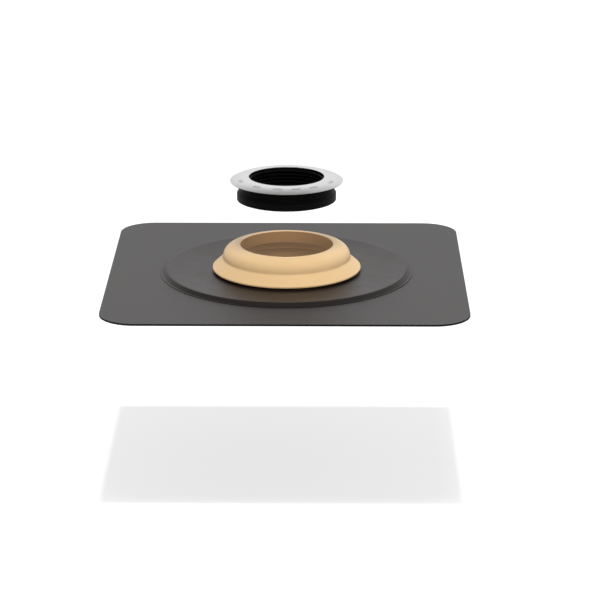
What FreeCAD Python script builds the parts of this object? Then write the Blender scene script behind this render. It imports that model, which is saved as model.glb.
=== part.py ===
import FreeCAD, Part
import os
import re
import Sketcher

# Pipe flashing boot: a square roofing membrane carries a dished disc and a moulded collar.
# A domed trim ring with its rubber lip seal is lifted off the collar. With seal_lift at zero
# the seal's band lies under the ledge in the collar's bore, and band and fins press outwards.
# Millimetres. The origin is the centre of the membrane's underside; +Z runs up the pipe.

SIZES = (
    ("sheet_width", 500.0, "side of the square membrane"),
    ("sheet_thickness", 2.75, "thickness of the membrane"),
    ("sheet_corner_radius", 50.0, "rounded corners of the membrane"),
    ("sheet_hole_clearance", 1.8, "membrane's hole beyond the collar's bottom bore"),
    ("disc_top_radius", 170.5, "top edge of the disc's sloping side"),
    ("disc_side_run", 4.8, "reach of the sloping side beyond the top edge"),
    ("disc_ledge_width", 3.2, "width of the thin ledge round the side's foot"),
    ("disc_ledge_height", 0.8, "height of that ledge"),
    ("disc_thickness", 5.3, "height of the disc at its edge"),
    ("disc_flat_width", 3.0, "level band inside the disc's top edge"),
    ("disc_dish_depth", 3.6, "drop of the disc's top towards the collar"),
    ("disc_edge_round", 2.0, "rounding of the disc's top edge"),
    ("foot_gap", 0.3, "clearance between the disc and the collar's foot"),
    ("collar_bore_radius", 65.2, "bore at the collar's opening"),
    ("collar_height", 39.35, "crown of the rolled top above the membrane"),
    ("crown_offset", 0.95, "circle of the crown beyond the bore"),
    ("opening_round", 0.8, "rounding of the opening's edge"),
    ("roll_width", 24.1, "from the circle of the crown out to the roll's widest circle"),
    ("roll_depth", 18.1, "from the crown down to that widest circle"),
    ("roll_crown_arc", 36.0, "arc radius over the crown of the roll"),
    ("crease_drop", 1.0, "crease between the roll and the skirt, below the widest circle"),
    ("crease_round", 3.0, "hollow rounding in the crease"),
    ("rim_radius", 104.7, "outside of the skirt's rim"),
    ("rim_height", 5.2, "underside of the rim above the membrane"),
    ("rim_edge_height", 1.7, "upright edge of the rim"),
    ("rim_round", 0.7, "rounding of the rim's upper edge"),
    ("rim_lip_width", 4.0, "drip lip between the rim and the undercut"),
    ("undercut_height", 3.0, "rise of the undercut above the drip lip"),
    ("foot_radius", 92.0, "outside of the collar's foot on the membrane"),
    ("ledge_height", 22.4, "ledge in the bore that holds the seal's band"),
    ("step_height", 12.6, "lower step in the bore"),
    ("step_width", 2.2, "bottom bore beyond the band's seat"),
    ("band_squeeze", 1.7, "band's radius less that of its seat in the collar"),
    ("ring_outer_radius", 79.5, "outside of the trim ring"),
    ("ring_bore_radius", 52.9, "bore of the trim ring"),
    ("ring_land_radius", 60.0, "outside of the ring's level land"),
    ("ring_drop", 5.3, "fall of the dome from the land to the outer edge"),
    ("ring_thickness", 0.8, "thickness of the trim ring"),
    ("ring_height", 23.4, "top of the ring above the top of the seal's band"),
    ("notch_width", 2.0, "index notch in the ring's edge"),
    ("notch_depth", 0.9, "depth of that notch"),
    ("band_radius", 69.7, "outside of the seal's band"),
    ("band_height", 9.7, "height of the band"),
    ("lead_in_width", 2.5, "lead-in at the band's lower edge, across"),
    ("lead_in_height", 0.9, "lead-in at the band's lower edge, upwards"),
    ("shoulder_height", 0.6, "upright part above the band's top line"),
    ("taper_height", 4.1, "taper from the band to the finned sleeve"),
    ("sleeve_radius", 66.9, "tips of the fins above the band"),
    ("sleeve_top_fall", 1.7, "fall of the sleeve's top outside the ring's land"),
    ("fin_pitch", 3.0, "spacing of the grooves between the fins"),
    ("fin_groove_depth", 1.1, "depth of those grooves"),
    ("fin_groove_width", 1.3, "mouth of those grooves"),
    ("fin_groove_count", 4, "number of those grooves"),
    ("fin_first_height", 6.1, "lowest of them above the band's top line"),
    ("line_depth", 0.35, "depth of the lines round the band"),
    ("line_width", 0.7, "mouth of those lines"),
    ("line_count", 3, "number of those lines"),
    ("lip_radius", 50.5, "free edge of the sealing lips"),
    ("lip_root_radius", 56.0, "wall that the lips grow from"),
    ("lip_edge", 1.2, "height of a lip at its free edge"),
    ("lip_root", 3.0, "height of a lip at its root"),
    ("lip_sag", 1.0, "fall of a lip from its root to its edge"),
    ("lip_pitch", 5.05, "spacing of the lips"),
    ("lip_count", 6, "number of lips"),
    ("lip_first_depth", 5.9, "lowest lip's root below the band's top line"),
    ("seal_lift", 91.9, "how far the ring and seal are lifted off the collar"),
)

# Circles that follow from the driving sizes: the collar's seat takes the band, and the bore
# below it is wider by one more step.
SEAT_RADIUS = "(band_radius - band_squeeze)"
BOTTOM_BORE = "(band_radius - band_squeeze + step_width)"
SEAL_PLACE = "sheet_thickness + ledge_height + seal_lift"

TOLERANCE = 1e-4

doc = FreeCAD.newDocument("PipeFlashingBoot")
sizes = doc.addObject("Spreadsheet::Sheet", "Sizes")
for row, (alias, value, meaning) in enumerate(SIZES, start=1):
    sizes.set(f"A{row}", alias)
    sizes.set(f"B{row}", str(value))
    sizes.setAlias(f"B{row}", alias)
    sizes.set(f"C{row}", meaning)
doc.recompute()


def bound(formula):
    """The formula as an expression that reads the spreadsheet."""
    names = "|".join(alias for alias, _, _ in SIZES)
    return re.sub(rf"\b({names})\b", r"Sizes.\1", formula)


def number(formula):
    """What the formula comes to."""
    return float(sizes.evalExpression(bound(formula)))


def new_body(label, height):
    """An empty body that stands at a height above the membrane's underside."""
    body = doc.addObject("PartDesign::Body", "Body_" + label)
    body.Label = label
    body.setExpression("Placement.Base.z", bound(height))
    return body


def new_sketch(body, name, plane="XZ_Plane"):
    sketch = body.newObject("Sketcher::SketchObject", name)
    support = next(item for item in body.Origin.OriginFeatures if item.Role == plane)
    sketch.AttachmentSupport = [(support, "")]
    sketch.MapMode = "FlatFace"
    return sketch


def constrain(sketch, name, formula, kind, *where):
    """Adds a named dimension to a sketch and ties it to the spreadsheet."""
    rule = sketch.addConstraint(Sketcher.Constraint(kind, *where, number(formula)))
    sketch.renameConstraint(rule, name)
    sketch.setExpression("Constraints." + name, bound(formula))


def nearest_end(sketch, edge, point):
    """1 or 2: the end of a sketch edge that lies at a point."""
    return min((1, 2), key=lambda end: (sketch.getPoint(edge, end) - point).Length)


def arc_between(start, end, radius, hollow):
    """Arc that bulges to the left of the way from start to end, or to the right if hollow."""
    along = end - start
    left = FreeCAD.Vector(-along.y, along.x, 0).normalize()
    sagitta = radius - (radius ** 2 - along.Length ** 2 / 4) ** 0.5
    middle = (start + end) / 2 + left * (-sagitta if hollow else sagitta)
    return Part.Arc(start, middle, end)


def outline(sketch, corners, arcs=None):
    """Closed outline through corners, given as name: (x formula, y formula).

    arcs names the corners that an arc leaves, each with its radius formula and whether it is
    hollow. Every corner and radius is tied to the spreadsheet.
    """
    arcs = arcs or {}
    points = [FreeCAD.Vector(number(x), number(y), 0) for x, y in corners.values()]
    edges = []
    for index, name in enumerate(corners):
        start, end = points[index], points[(index + 1) % len(points)]
        if name in arcs:
            radius, hollow = arcs[name]
            edges.append(sketch.addGeometry(arc_between(start, end, number(radius), hollow)))
            constrain(sketch, name + "_arc", radius, "Radius", edges[-1])
        else:
            edges.append(sketch.addGeometry(Part.LineSegment(start, end)))
    for index, (name, (x, y)) in enumerate(corners.items()):
        here, before = edges[index], edges[index - 1]
        begin = nearest_end(sketch, here, points[index])
        finish = nearest_end(sketch, before, points[index])
        sketch.addConstraint(Sketcher.Constraint("Coincident", before, finish, here, begin))
        constrain(sketch, name + "_x", x, "DistanceX", -1, 1, here, begin)
        constrain(sketch, name + "_y", y, "DistanceY", -1, 1, here, begin)


def circle_outline(sketch, radius):
    """Circle about the sketch's origin."""
    middle, upwards = FreeCAD.Vector(0, 0, 0), FreeCAD.Vector(0, 0, 1)
    circle = sketch.addGeometry(Part.Circle(middle, upwards, number(radius)))
    sketch.addConstraint(Sketcher.Constraint("Coincident", circle, 3, -1, 1))
    constrain(sketch, "radius", radius, "Radius", circle)


def notched(groove, radius, height, depth, width):
    """V outline that cuts a groove of this depth and mouth into a wall at a radius."""
    outline(groove, {
        "root": (f"{radius} - {depth}", height),
        "upper": (f"{radius} + {depth}", f"{height} + {width}"),
        "lower": (f"{radius} + {depth}", f"{height} - {width}"),
    })


def turned(body, kind, name, sketch):
    """A revolution or groove: the sketch goes once round Z."""
    made = body.newObject("PartDesign::" + kind, name)
    made.Profile = sketch
    made.ReferenceAxis = (sketch, ["V_Axis"])
    made.Angle = 360.0
    return made


def stacked(body, name, original, sketch, pitch, count):
    """Copies of a feature one above another."""
    pattern = body.newObject("PartDesign::LinearPattern", name)
    pattern.Originals = [original]
    pattern.Direction = (sketch, ["V_Axis"])
    pattern.setExpression("Length", bound(f"{pitch} * ({count} - 1)"))
    pattern.setExpression("Occurrences", bound(count))
    body.Tip = pattern
    return pattern


def cut_upwards(body, name, sketch):
    """Cuts a sketch on the XY plane up through the body, and makes sure that it cut.

    A cut adds faces. They are counted, because a small notch takes off less than the error of
    the body's volume.
    """
    doc.recompute()
    faces_before = len(body.Shape.Faces)
    pocket = body.newObject("PartDesign::Pocket", name)
    pocket.Profile = sketch
    pocket.Type = "ThroughAll"
    pocket.Reversed = True
    doc.recompute()
    if len(pocket.Shape.Faces) <= faces_before:
        raise RuntimeError(name + " cuts nothing")
    return pocket


def rounded(body, name, base, radius, edges):
    """Fillet on the edges of base that the function edges picks from its shape."""
    doc.recompute()
    names = [f"Edge{index}" for index, edge in enumerate(base.Shape.Edges, start=1) if edges(edge)]
    if not names:
        raise RuntimeError(name + " found no edge")
    fillet = body.newObject("PartDesign::Fillet", name)
    fillet.Base = (base, names)
    fillet.setExpression("Radius", bound(radius))
    return fillet


def circle_at(radius, height):
    """Picks the circular edge about Z with this radius at this height."""
    def matches(edge):
        curve = edge.Curve
        return (isinstance(curve, Part.Circle)
                and abs(curve.Radius - number(radius)) < TOLERANCE
                and abs(curve.Center.z - number(height)) < TOLERANCE)
    return matches


def is_upright(edge):
    box = edge.BoundBox
    return box.XLength < TOLERANCE and box.YLength < TOLERANCE


def membrane_sheet():
    """Square roofing membrane with rounded corners and a hole for the pipe."""
    body = new_body("membrane_sheet", "0")
    square = new_sketch(body, "SheetOutline", "XY_Plane")
    low, high = "-sheet_width / 2", "sheet_width / 2"
    outline(square, {
        "front_left": (low, low),
        "front_right": (high, low),
        "back_right": (high, high),
        "back_left": (low, high),
    })
    pad = body.newObject("PartDesign::Pad", "SheetPad")
    pad.Profile = square
    pad.setExpression("Length", bound("sheet_thickness"))
    rounded(body, "SheetCorners", pad, "sheet_corner_radius", is_upright)
    hole = new_sketch(body, "SheetHole", "XY_Plane")
    circle_outline(hole, f"{BOTTOM_BORE} + sheet_hole_clearance")
    cut_upwards(body, "SheetHoleCut", hole)
    return body


def base_disc():
    """Raised disc: a sloping side on a thin ledge, and a top dished towards the collar."""
    body = new_body("base_disc", "sheet_thickness")
    section = new_sketch(body, "DiscSection")
    inside = "(foot_radius + foot_gap)"
    dish_edge = "(disc_top_radius - disc_flat_width)"
    side_foot = "disc_top_radius + disc_side_run"
    ledge = f"{side_foot} + disc_ledge_width"
    dish_arc = f"((({dish_edge} - {inside}) ^ 2 + disc_dish_depth ^ 2) / (2 * disc_dish_depth))"
    outline(section, {
        "bore_bottom": (inside, "0"),
        "bore_top": (inside, "disc_thickness - disc_dish_depth"),
        "dish_edge": (dish_edge, "disc_thickness"),
        "top_edge": ("disc_top_radius", "disc_thickness"),
        "side_foot": (side_foot, "disc_ledge_height"),
        "ledge_edge": (ledge, "disc_ledge_height"),
        "ledge_foot": (ledge, "0"),
    }, arcs={"bore_top": (dish_arc, True)})
    disc = turned(body, "Revolution", "DiscTurned", section)
    rounded(body, "DiscEdge", disc, "disc_edge_round", circle_at("disc_top_radius", "disc_thickness"))
    return body


def sealing_collar():
    """Moulded collar: rolled top, flared skirt with an undercut rim, foot and stepped bore."""
    body = new_body("sealing_collar", "sheet_thickness")
    section = new_sketch(body, "CollarSection")
    # The crown and the side of the roll are two tangent arcs. The side's radius follows from
    # the crown's, and turn is the crown's radius over the distance of the two centres.
    crown = "(collar_bore_radius + crown_offset)"
    side_arc = ("((2 * roll_depth * roll_crown_arc - roll_width ^ 2 - roll_depth ^ 2)"
                " / (2 * (roll_crown_arc - roll_width)))")
    turn = f"(roll_crown_arc / (roll_crown_arc - {side_arc}))"
    crown_centre = "(collar_height - roll_crown_arc)"
    opening_height = f"({crown_centre} + sqrt(roll_crown_arc ^ 2 - crown_offset ^ 2))"
    crease_height = "(collar_height - roll_depth - crease_drop)"
    crease_radius = (f"({crown} + roll_width - {side_arc}"
                     f" + sqrt({side_arc} ^ 2 - crease_drop ^ 2))")
    undercut = "rim_height + undercut_height"
    rim_top = "rim_height + rim_edge_height"
    outline(section, {
        "bottom": (BOTTOM_BORE, "0"),
        "step_outside": (BOTTOM_BORE, "step_height"),
        "step_inside": (SEAT_RADIUS, "step_height"),
        "ledge_outside": (SEAT_RADIUS, "ledge_height"),
        "ledge_inside": ("collar_bore_radius", "ledge_height"),
        "opening": ("collar_bore_radius", opening_height),
        "shoulder": (f"{crown} + (roll_width - {side_arc}) * {turn}",
                     f"{crown_centre} + (roll_crown_arc - roll_depth) * {turn}"),
        "crease": (crease_radius, crease_height),
        "rim_top": ("rim_radius", rim_top),
        "rim_bottom": ("rim_radius", "rim_height"),
        "drip_lip": ("rim_radius - rim_lip_width", "rim_height"),
        "undercut_outside": ("rim_radius - rim_lip_width - undercut_height", undercut),
        "undercut_inside": ("foot_radius", undercut),
        "foot": ("foot_radius", "0"),
    }, arcs={
        "opening": ("roll_crown_arc", False),
        "shoulder": (side_arc, False),
    })
    collar = turned(body, "Revolution", "CollarTurned", section)
    opening = rounded(body, "CollarOpening", collar, "opening_round",
                      circle_at("collar_bore_radius", opening_height))
    crease = rounded(body, "CollarCrease", opening, "crease_round",
                     circle_at(crease_radius, crease_height))
    rounded(body, "CollarRim", crease, "rim_round", circle_at("rim_radius", rim_top))
    return body


def trim_ring():
    """Domed metal ring: a level land round the bore and an arc down to the outer edge."""
    body = new_body("trim_ring", SEAL_PLACE)
    section = new_sketch(body, "RingSection")
    span = "(ring_outer_radius - ring_land_radius)"
    dome_arc = f"(({span} ^ 2 + ring_drop ^ 2) / (2 * ring_drop))"
    underside = "ring_height - ring_thickness"
    outline(section, {
        "bore_top": ("ring_bore_radius", "ring_height"),
        "land_edge": ("ring_land_radius", "ring_height"),
        "outer_top": ("ring_outer_radius", "ring_height - ring_drop"),
        "outer_bottom": (f"ring_outer_radius - ring_thickness * {span} / {dome_arc}",
                         f"ring_height - ring_drop - ring_thickness * (1 - ring_drop / {dome_arc})"),
        "land_below": ("ring_land_radius", underside),
        "bore_bottom": ("ring_bore_radius", underside),
    }, arcs={
        "land_edge": (dome_arc, False),
        "outer_bottom": (f"{dome_arc} - ring_thickness", True),
    })
    turned(body, "Revolution", "RingTurned", section)
    notch = new_sketch(body, "NotchOutline", "XY_Plane")
    inner, outer = "notch_depth - ring_outer_radius", "-ring_outer_radius - notch_depth"
    outline(notch, {
        "inner_left": ("-notch_width / 2", inner),
        "outer_left": ("-notch_width / 2", outer),
        "outer_right": ("notch_width / 2", outer),
        "inner_right": ("notch_width / 2", inner),
    })
    cut_upwards(body, "NotchCut", notch)
    return body


def lip_seal():
    """Rubber seal under the ring: band, finned sleeve, and lips that close on the pipe."""
    body = new_body("lip_seal", SEAL_PLACE)
    section = new_sketch(body, "SealSection")
    taper_top = "shoulder_height + taper_height"
    seat = "ring_height - ring_thickness"
    outline(section, {
        "wall_bottom": ("lip_root_radius", "-band_height"),
        "bottom_edge": ("band_radius - lead_in_width", "-band_height"),
        "lead_in": ("band_radius", "lead_in_height - band_height"),
        "shoulder": ("band_radius", "shoulder_height"),
        "taper_top": ("sleeve_radius", taper_top),
        "sleeve_top": ("sleeve_radius", f"{seat} - sleeve_top_fall"),
        "seat_edge": ("ring_land_radius", seat),
        "wall_top": ("lip_root_radius", seat),
    })
    turned(body, "Revolution", "SealTurned", section)

    fin_groove = new_sketch(body, "FinGroove")
    notched(fin_groove, "sleeve_radius", "fin_first_height", "fin_groove_depth", "fin_groove_width")
    first_groove = turned(body, "Groove", "FinGrooveTurned", fin_groove)
    stacked(body, "FinGrooves", first_groove, fin_groove, "fin_pitch", "fin_groove_count")

    line = new_sketch(body, "BandLine")
    notched(line, "band_radius", "-fin_pitch * (line_count - 1)", "line_depth", "line_width")
    first_line = turned(body, "Groove", "BandLineTurned", line)
    stacked(body, "BandLines", first_line, line, "fin_pitch", "line_count")

    lip = new_sketch(body, "LipSection")
    edge_height = "-lip_first_depth - lip_sag"
    outline(lip, {
        "root_bottom": ("lip_root_radius", "-lip_first_depth - lip_root / 2"),
        "root_top": ("lip_root_radius", "-lip_first_depth + lip_root / 2"),
        "edge_top": ("lip_radius", f"{edge_height} + lip_edge / 2"),
        "edge_bottom": ("lip_radius", f"{edge_height} - lip_edge / 2"),
    })
    first_lip = turned(body, "Revolution", "LipTurned", lip)
    stacked(body, "Lips", first_lip, lip, "lip_pitch", "lip_count")
    return body


pieces = [membrane_sheet(), base_disc(), sealing_collar(), trim_ring(), lip_seal()]
doc.recompute()

for item in doc.Objects:
    if {"Invalid", "Error"} & set(item.State):
        raise RuntimeError(f"{item.Label} is {item.State}")
for piece in pieces:
    if piece.Shape.isNull() or not piece.Shape.isValid() or len(piece.Shape.Solids) != 1:
        raise RuntimeError(piece.Label + " is not one valid solid")

os.makedirs("parts", exist_ok=True)
for piece in pieces:
    piece.Shape.exportStep(f"parts/{piece.Label}.step")
    box = piece.Shape.optimalBoundingBox()
    print(f"{piece.Label}: {piece.Shape.Volume / 1000:.1f} cm3, "
          f"radius {box.XMax:.2f}, z {box.ZMin:.2f} to {box.ZMax:.2f}")
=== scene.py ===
import math

import bpy
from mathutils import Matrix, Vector

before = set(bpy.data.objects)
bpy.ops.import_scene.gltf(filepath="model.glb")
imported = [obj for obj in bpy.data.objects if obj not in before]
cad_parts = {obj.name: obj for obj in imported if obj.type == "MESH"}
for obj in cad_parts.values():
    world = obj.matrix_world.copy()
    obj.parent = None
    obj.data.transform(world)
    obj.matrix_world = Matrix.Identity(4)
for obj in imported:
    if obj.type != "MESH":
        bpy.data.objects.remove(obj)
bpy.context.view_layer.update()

# Sizes and places in metres, angles in degrees, colours linear.
CAMERA_AZIMUTH = 0.51
CAMERA_ELEVATION = 17.32
CAMERA_DISTANCE = 3.732
CAMERA_TARGET = Vector((0.0189, 0.0, -0.0412))
CAMERA_LENS_MM = 157.33
SENSOR_MM = 36.0
SIGHT_LIMIT = 50.0

FLOOR_DROP = 0.273          # the boot floats this far above the floor
FLOOR_SIZE = 9.0
FLOOR_GREY = 0.3
FLOOR_GLOW = 0.69           # with the floor sun and the sky this comes to plain white
FLOOR_SUN = 2.7
SUN_ANGLE = 3.0             # the wider the sun, the softer the shadow's edge
SHADOW_CARD = (0.505, 0.4)  # throws the floor's shadow, in place of the boot itself
SHADOW_SHIFT = -0.006       # of the card, along X
CARD_DROP = 0.004

# The sky that the object sees, from each side: brightness at these elevations.
SKY_ELEVATIONS = (0, 12, 28, 48, 70)
SKY = {"back": (1.0, 1.3, 1.5, 1.0, 0.5), "right": (1.2, 0.7, 0.4, 0.9, 0.4),
       "front": (0.8, 0.3, 0.15, 0.5, 0.5), "left": (0.9, 0.4, 0.15, 0.45, 0.5)}
# Where each side lies, along X and Y.
SKY_SIDES = {"back": (0, 1), "right": (1, 0), "front": (0, -1), "left": (-1, 0)}
SKY_OVERHEAD = 0.8
HORIZON_DIP = 8             # the sky goes on this far below the horizon
HORIZON_EDGE = 0.001        # width of the sky's lower edge, as a share of the half turn
BACKDROP_TOP = 30           # the white backdrop has faded out at this elevation

# Lamps: place, width and height, power in watts.
KEY = ((0.1, -0.7, 2.5), (0.9, 0.5), 40.0)
FILL = ((-0.2, -2.5, 0.3), (1.8, 0.4), 9.0)

MEMBRANE_BLACK = (0.026, 0.023, 0.022)
CUT_EDGE_BLACK = (0.002, 0.002, 0.002)
MEMBRANE_ROUGHNESS = 0.55
CUT_EDGE_ROUGHNESS = 1.0
SPECKLE = ((0.35, 0.4), (0.65, 1.6))    # grain height and how bright the membrane is there
LEVEL_NORMAL = 0.5          # where the normal is less upright than this, the face is cut edge
DISC_BLACK = (0.011, 0.007, 0.006)
SEAL_BLACK = (0.004, 0.004, 0.004)

COLLAR_TAN = (0.80, 0.545, 0.275)
COLLAR_CLOUD = 0.03         # the tan varies by this share
COLLAR_CLOUD_CELLS = 30.0   # per metre
DISC_CLOUD_CELLS = 40.0     # per metre
# Painted shade in the collar's bore: a browner tan inside the bore, and darker lines under its steps,
# where the overhangs shade it.
BORE_PAINTED_SHADE = (0.42, 0.235, 0.098)
STEP_PAINTED_SHADOW = (0.20, 0.11, 0.045)
BORE_RADIUS = 0.0655        # painted shade: the collar is browner inside this radius
STEP_RADIUS = 0.072         # and inside this one below the step
STEP_HEIGHT = 0.033
PAINTED_SHADOW_HEIGHTS = (0.0246, 0.0148)     # of the painted shadow lines under the bore's steps
PAINTED_SHADOW_HALF = 0.0007          # half the height of such a line

# Groups of plain ticks on the ring, at these angles from its front.
RING_GREY = (0.50, 0.50, 0.50)
TICK_GREY = (0.07, 0.07, 0.07)
TICK_ANGLES = (-70, -37, -9, 12, 34, 66)
TICK_SPREAD = 5.5           # each group reaches this far to both sides
TICK_PITCH = 2.2
TICK_SHARE = 0.4            # of the pitch that is dark
TICK_RADIUS = 0.068
TICK_LENGTH = 0.005

# Fine grain in cells per metre, and its depth. The roughness goes from low to high along the
# grain, and on the disc along its clouds.
GRAIN_CELLS = {"membrane": 1100.0, "disc": 700.0, "collar": 900.0, "ring": 500.0, "seal": 900.0}
GRAIN_DEPTH = {"membrane": 0.00008, "disc": 0.00001, "collar": 0.00002, "ring": 0.00001,
               "seal": 0.00002}
ROUGHNESS = {"disc": (0.42, 0.5), "collar": (0.46, 0.54), "ring": (0.28, 0.34), "seal": (0.42, 0.55)}
NOISE_DETAIL = 3.0

SHARP_ANGLE = 28            # edges that turn by more than this stay sharp


def add_camera():
    """Looks along +Y at azimuth 0, and down by the elevation."""
    azimuth, elevation = math.radians(CAMERA_AZIMUTH), math.radians(CAMERA_ELEVATION)
    back = Vector((math.sin(azimuth) * math.cos(elevation),
                   -math.cos(azimuth) * math.cos(elevation),
                   math.sin(elevation)))
    data = bpy.data.cameras.new("camera")
    data.lens = CAMERA_LENS_MM
    data.sensor_width = SENSOR_MM
    data.clip_end = SIGHT_LIMIT
    camera = bpy.data.objects.new("camera", data)
    camera.location = CAMERA_TARGET + back * CAMERA_DISTANCE
    camera.rotation_euler = back.to_track_quat("Z", "Y").to_euler()
    bpy.context.scene.collection.objects.link(camera)
    bpy.context.scene.camera = camera


class Tree:
    """Short ways to add nodes to one node tree."""

    def __init__(self, owner):
        owner.use_nodes = True
        self.nodes = owner.node_tree.nodes
        self.links = owner.node_tree.links

    def feed(self, value, socket):
        """Links an output to the socket, or sets a plain value on it."""
        if isinstance(value, bpy.types.NodeSocket):
            self.links.new(value, socket)
        else:
            socket.default_value = value

    def add(self, kind, **inputs):
        node = self.nodes.new("ShaderNode" + kind)
        for name, value in inputs.items():
            self.feed(value, node.inputs[name.replace("_", " ")])
        return node

    def math(self, operation, *values):
        node = self.nodes.new("ShaderNodeMath")
        node.operation = operation
        for value, socket in zip(values, node.inputs):
            self.feed(value, socket)
        return node.outputs[0]

    def ramp(self, factor, stops):
        """Grey ramp through stops of (position, grey)."""
        node = self.add("ValToRGB", Fac=factor)
        elements = node.color_ramp.elements
        while len(elements) > 1:
            elements.remove(elements[-1])
        for index, (position, grey) in enumerate(stops):
            stop = elements.new(position) if index else elements[0]
            stop.position = position
            stop.color = (grey, grey, grey, 1)
        return node.outputs["Color"]

    def blend(self, factor, first, second):
        """Colour from first (factor 0) to second (factor 1); either may be an output."""
        node = self.nodes.new("ShaderNodeMix")
        node.data_type = "RGBA"
        self.feed(factor, node.inputs["Factor"])
        for colour, socket in ((first, node.inputs[6]), (second, node.inputs[7])):
            self.feed(colour if isinstance(colour, bpy.types.NodeSocket) else (*colour, 1), socket)
        return node.outputs[2]

    def spread(self, factor, low, high):
        """Grey from low (factor 0) to high (factor 1)."""
        return self.add("MapRange", Value=factor, To_Min=low, To_Max=high).outputs["Result"]

    def place(self):
        """X, Y and Z in the object's own coordinates."""
        return self.add("SeparateXYZ", Vector=self.add("TexCoord").outputs["Object"]).outputs

    def polar(self):
        """Radius in metres, and angle in degrees from the front, about the upright axis."""
        x, y, _ = self.place()
        square = self.math("ADD", self.math("MULTIPLY", x, x), self.math("MULTIPLY", y, y))
        angle = self.math("ARCTAN2", x, self.math("MULTIPLY", y, -1.0))
        return self.math("SQRT", square), self.math("MULTIPLY", angle, math.degrees(1.0))

    def noise(self, scale):
        """Noise over the object's own coordinates, scale in cells per metre."""
        place = self.add("TexCoord").outputs["Object"]
        return self.add("TexNoise", Vector=place, Scale=scale, Detail=NOISE_DETAIL).outputs["Fac"]

    def white_to_the_eye(self):
        """1 for camera, glossy and transmission rays, else 0."""
        path = self.add("LightPath")
        seen = self.math("MAXIMUM", path.outputs["Is Camera Ray"], path.outputs["Is Glossy Ray"])
        return self.math("MAXIMUM", seen, path.outputs["Is Transmission Ray"])


def elevation_share(elevation):
    """Where an elevation lies from straight down, 0, to straight up, 1."""
    return 0.5 + elevation / 180


def light_world():
    """White to the camera. The object is lit by a sky that is brightest behind it, and glossy and
    transmission rays also meet white from straight down to where the backdrop fades out."""
    world = bpy.data.worlds.new("studio")
    bpy.context.scene.world = world
    tree = Tree(world)
    direction = tree.add("TexCoord").outputs["Generated"]
    x, y, z = tree.add("SeparateXYZ", Vector=direction).outputs
    height = tree.math("ADD", tree.math("DIVIDE", tree.math("ARCSINE", z), math.pi), 0.5)
    level = tree.math("ADD", tree.math("MULTIPLY", x, x), tree.math("MULTIPLY", y, y))
    dip = elevation_share(-HORIZON_DIP)
    sky = 0.0
    for side, greys in SKY.items():
        stops = [(dip - HORIZON_EDGE, 0.0), (dip, greys[0])]
        stops += [(elevation_share(step), grey) for step, grey in zip(SKY_ELEVATIONS, greys)]
        stops += [(1.0, SKY_OVERHEAD)]
        across, along = SKY_SIDES[side]
        facing = tree.math("ADD", tree.math("MULTIPLY", x, across), tree.math("MULTIPLY", y, along))
        facing = tree.math("MAXIMUM", facing, 0.0)
        share = tree.math("DIVIDE", tree.math("MULTIPLY", facing, facing), level)
        sky = tree.math("ADD", tree.math("MULTIPLY", tree.ramp(height, stops), share), sky)
    backdrop = ((0.0, 1.0), (elevation_share(0), 1.0), (elevation_share(BACKDROP_TOP), 0.0))
    low = tree.ramp(height, backdrop)
    light = tree.math("MAXIMUM", sky, tree.math("MULTIPLY", tree.white_to_the_eye(), low))
    camera_ray = tree.add("LightPath").outputs["Is Camera Ray"]
    strength = tree.add("Mix", Factor=camera_ray, A=light, B=1.0).outputs["Result"]
    tree.feed(strength, tree.nodes["Background"].inputs["Strength"])
    tree.feed((1, 1, 1, 1), tree.nodes["Background"].inputs["Color"])


def add_area(name, place, size, power):
    """A rectangular lamp aimed at the origin, which lights and leaves no highlight."""
    data = bpy.data.lights.new(name, "AREA")
    data.shape = "RECTANGLE"
    data.size, data.size_y = size
    data.energy = power
    lamp = bpy.data.objects.new(name, data)
    lamp.location = place
    lamp.rotation_euler = Vector(place).to_track_quat("Z", "Y").to_euler()
    lamp.visible_glossy = False
    bpy.context.scene.collection.objects.link(lamp)


def add_level_sheet(name, size, height, shift=0.0):
    """A level rectangle, not part of the object."""
    mesh = bpy.data.meshes.new(name)
    across, along = size[0] / 2, size[1] / 2
    corners = [(-across, -along), (across, -along), (across, along), (-across, along)]
    mesh.from_pydata([(x + shift, y, height) for x, y in corners], [], [(0, 1, 2, 3)])
    sheet = bpy.data.objects.new(name, mesh)
    bpy.context.scene.collection.objects.link(sheet)
    return sheet


def add_floor():
    """Pale floor below the floating boot: white to the eye where no shadow falls."""
    floor = add_level_sheet("floor", (FLOOR_SIZE, FLOOR_SIZE), -FLOOR_DROP)
    material = bpy.data.materials.new("floor")
    tree = Tree(material)
    tree.nodes.clear()
    diffuse = tree.add("BsdfDiffuse", Color=(FLOOR_GREY, FLOOR_GREY, FLOOR_GREY, 1))
    glow = tree.add("Emission", Strength=tree.math("MULTIPLY", tree.white_to_the_eye(), FLOOR_GLOW))
    both = tree.nodes.new("ShaderNodeAddShader")
    tree.feed(diffuse.outputs[0], both.inputs[0])
    tree.feed(glow.outputs[0], both.inputs[1])
    tree.add("OutputMaterial", Surface=both.outputs[0])
    floor.data.materials.append(material)
    return floor


def add_collection(name, member):
    """A collection of one object, for light linking."""
    collection = bpy.data.collections.new(name)
    collection.objects.link(member)
    return collection


def add_shadow_sun(floor):
    """A sun straight above that lights the floor alone. An unseen card, and not the boot itself,
    throws the even, soft-edged shadow on the floor."""
    card = add_level_sheet("shadow_card", SHADOW_CARD, -CARD_DROP, SHADOW_SHIFT)
    for ray in ("camera", "diffuse", "glossy", "transmission", "volume_scatter"):
        setattr(card, "visible_" + ray, False)
    data = bpy.data.lights.new("floor_sun", "SUN")
    data.energy = FLOOR_SUN
    data.angle = math.radians(SUN_ANGLE)
    sun = bpy.data.objects.new("floor_sun", data)
    bpy.context.scene.collection.objects.link(sun)
    sun.light_linking.receiver_collection = add_collection("lit_by_floor_sun", floor)
    sun.light_linking.blocker_collection = add_collection("blocks_floor_sun", card)


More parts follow.
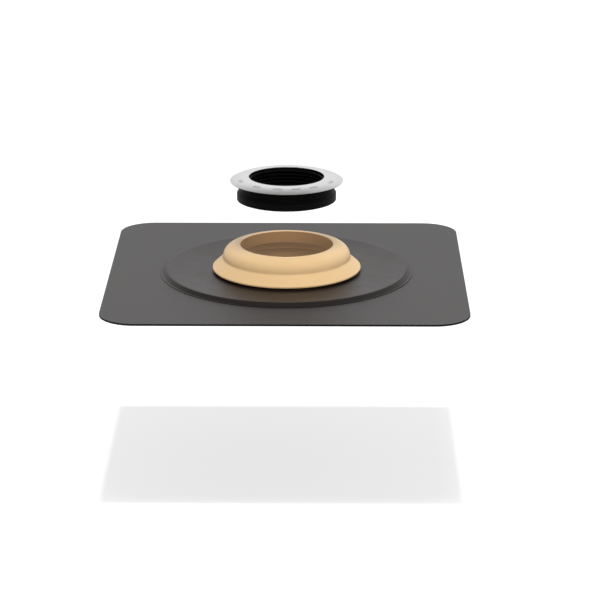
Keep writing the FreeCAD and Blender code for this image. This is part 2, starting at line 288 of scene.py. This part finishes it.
def new_material(name, **sockets):
    """A Principled material with these plain values on its own sockets."""
    material = bpy.data.materials.new(name)
    tree = Tree(material)
    shader = tree.nodes["Principled BSDF"]
    for socket, value in sockets.items():
        shader.inputs[socket.replace("_", " ")].default_value = value
    return material, tree, shader


def raise_grain(name, tree, shader):
    """Gives the material its bump, and returns the grain's height from 0 to 1."""
    grain = tree.noise(GRAIN_CELLS[name])
    bump = tree.add("Bump", Height=grain, Distance=GRAIN_DEPTH[name])
    tree.feed(bump.outputs["Normal"], shader.inputs["Normal"])
    return grain


def roughen(name, tree, shader, factor):
    """Varies the roughness along the factor."""
    tree.feed(tree.spread(factor, *ROUGHNESS[name]), shader.inputs["Roughness"])


def membrane_material():
    """Black roofing sheet with a fine mineral grain, and a blacker, duller cut edge."""
    material, tree, shader = new_material("membrane")
    grain = raise_grain("membrane", tree, shader)
    speckled = tree.nodes.new("ShaderNodeVectorMath")
    speckled.operation = "MULTIPLY"
    tree.feed(MEMBRANE_BLACK, speckled.inputs[0])
    tree.feed(tree.ramp(grain, SPECKLE), speckled.inputs[1])
    normal = tree.add("NewGeometry").outputs["Normal"]
    upright = tree.math("ABSOLUTE", tree.add("SeparateXYZ", Vector=normal).outputs["Z"])
    level = tree.math("GREATER_THAN", upright, LEVEL_NORMAL)
    colour = tree.blend(level, CUT_EDGE_BLACK, speckled.outputs[0])
    tree.feed(colour, shader.inputs["Base Color"])
    roughness = tree.spread(level, CUT_EDGE_ROUGHNESS, MEMBRANE_ROUGHNESS)
    tree.feed(roughness, shader.inputs["Roughness"])
    return material


def disc_material():
    """Smooth black rubber, satin in faint clouds."""
    material, tree, shader = new_material("disc", Base_Color=(*DISC_BLACK, 1), Specular_IOR_Level=0.3)
    raise_grain("disc", tree, shader)
    roughen("disc", tree, shader, tree.noise(DISC_CLOUD_CELLS))
    return material


def collar_material():
    """Tan moulded rubber, a little translucent; its bore is browned by painted shade, with painted
    shadow lines under its steps.
    """
    material, tree, shader = new_material("collar", Specular_IOR_Level=0.7, Subsurface_Weight=0.12,
                                          Subsurface_Scale=0.004, Subsurface_Radius=(1.0, 0.35, 0.15))
    radius, _ = tree.polar()
    height = tree.place()["Z"]
    # Painted shade: the collar is browner inside the bore's wall, and has darker lines under its
    # steps.
    above = tree.math("GREATER_THAN", height, STEP_HEIGHT)
    wall = tree.add("Mix", Factor=above, A=STEP_RADIUS, B=BORE_RADIUS).outputs["Result"]
    outside_painted_shade = tree.math("GREATER_THAN", radius, wall)
    pale = [(1 + COLLAR_CLOUD) * channel for channel in COLLAR_TAN]
    deep = [(1 - COLLAR_CLOUD) * channel for channel in COLLAR_TAN]
    tan = tree.blend(tree.noise(COLLAR_CLOUD_CELLS), deep, pale)
    # Painted shadow lines under the bore's steps, over the painted shade of the bore.
    painted_step_shadow = 0.0
    for shadow_height in PAINTED_SHADOW_HEIGHTS:
        painted_step_shadow = tree.math("MAXIMUM", tree.math("COMPARE", height, shadow_height, PAINTED_SHADOW_HALF), painted_step_shadow)
    bore_painted_shade = tree.blend(painted_step_shadow, BORE_PAINTED_SHADE, STEP_PAINTED_SHADOW)
    tree.feed(tree.blend(outside_painted_shade, bore_painted_shade, tan), shader.inputs["Base Color"])
    roughen("collar", tree, shader, raise_grain("collar", tree, shader))
    return material


def ring_material():
    """Satin metal with a faint grain and some groups of plain ticks."""
    material, tree, shader = new_material("ring", Metallic=1.0)
    radius, angle = tree.polar()
    group = 0.0
    for centre in TICK_ANGLES:
        group = tree.math("MAXIMUM", tree.math("COMPARE", angle, centre, TICK_SPREAD), group)
    stripe = tree.math("FRACT", tree.math("DIVIDE", angle, TICK_PITCH))
    stripe = tree.math("COMPARE", stripe, 0.5, TICK_SHARE / 2)
    band = tree.math("COMPARE", radius, TICK_RADIUS, TICK_LENGTH / 2)
    tick = tree.math("MULTIPLY", tree.math("MULTIPLY", group, stripe), band)
    tree.feed(tree.blend(tick, RING_GREY, TICK_GREY), shader.inputs["Base Color"])
    roughen("ring", tree, shader, raise_grain("ring", tree, shader))
    return material


def seal_material():
    """Black rubber with a fine grain."""
    material, tree, shader = new_material("seal", Base_Color=(*SEAL_BLACK, 1), Specular_IOR_Level=0.05)
    roughen("seal", tree, shader, raise_grain("seal", tree, shader))
    return material


def dress(node, material):
    """Gives a CAD node its material and smooth shading."""
    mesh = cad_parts[node].data
    mesh.materials.clear()
    mesh.materials.append(material)
    mesh.shade_smooth()
    mesh.set_sharp_from_angle(angle=math.radians(SHARP_ANGLE))


add_camera()
light_world()
add_area("key", *KEY)
add_area("fill", *FILL)
add_shadow_sun(add_floor())

dress("membrane_sheet", membrane_material())
dress("base_disc", disc_material())
dress("sealing_collar", collar_material())
dress("trim_ring", ring_material())
dress("lip_seal", seal_material())

bpy.context.scene.view_settings.view_transform = "Standard"
